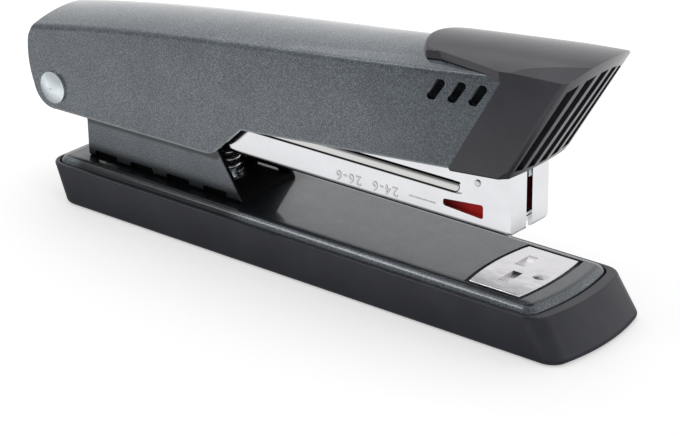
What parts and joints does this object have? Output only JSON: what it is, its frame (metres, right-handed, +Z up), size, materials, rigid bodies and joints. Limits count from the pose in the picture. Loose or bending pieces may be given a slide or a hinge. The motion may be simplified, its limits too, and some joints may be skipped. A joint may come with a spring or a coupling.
{
  "type": "desk stapler",
  "caption": "Full-strip stapler: crowned pressed-steel handle with a louvred nose cap over a folded magazine, hinged to a U bracket on a plate and anvil set in a ramp-fronted plastic tray.",
  "frame": {"origin": "middle of the tray's underside, on the surface that the stapler stands on, in the plane of symmetry", "axes": "+X towards the nose where the staple comes out, +Z up, +Y to the left of someone who looks along +X"},
  "size_m": [0.1669, 0.0346, 0.067],
  "materials": {
    "tray_plastic": "fine-grained black",
    "grey_paint": "dark grey metallic, speckled, glossy",
    "chrome": "bright nickel-chrome",
    "zinc": "bright zinc",
    "spring_steel": "drawn spring wire and strip",
    "cap_plastic": "satin charcoal",
    "red_plastic": "dark red"
  },
  "bodies": {
    "base": {"base_tray": "tray_plastic", "base_plate": "grey_paint", "tray_screws": "zinc", "anvil_plate": "chrome", "anvil_rivet": "zinc", "frame_bracket": "grey_paint", "bracket_rivets": "zinc", "spring_seat": "zinc", "lift_spring": "spring_steel", "hinge_pin": "zinc", "hinge_washers": "zinc"},
    "magazine": {"magazine_channel": "chrome", "staple_rail": "chrome", "rail_rivets": "zinc", "rod_holder": "zinc", "guide_rod": "zinc", "pusher_spring": "spring_steel"},
    "pusher": {"pusher": "red_plastic"},
    "handle": {"handle_cover": "grey_paint", "nose_cap": "cap_plastic", "driver_carrier": "zinc", "driver_blade": "zinc", "return_spring": "spring_steel", "carrier_studs": "zinc"}
  },
  "joints": [
    {"name": "magazine_press", "type": "hinge", "parent": "base", "child": "magazine", "pos_m": [-0.0802, 0, 0.0277], "axis": [0, 1, 0], "range_deg": [0, 4.35], "stiffness_Nm_per_rad": 2, "springref_deg": -8.59, "deforming": ["lift_spring"]},
    {"name": "handle_press", "type": "hinge", "parent": "magazine", "child": "handle", "pos_m": [-0.0802, 0, 0.0277], "axis": [0, 1, 0], "range_deg": [-80, 4.8], "stiffness_Nm_per_rad": 2, "springref_deg": -1.83, "deforming": ["return_spring"]},
    {"name": "pusher_slide", "type": "slide", "parent": "magazine", "child": "pusher", "axis": [1, 0, 0], "range_m": [-0.095, 0], "stiffness_N_per_m": 30, "springref_m": 0.1, "deforming": ["pusher_spring"]}
  ]
}
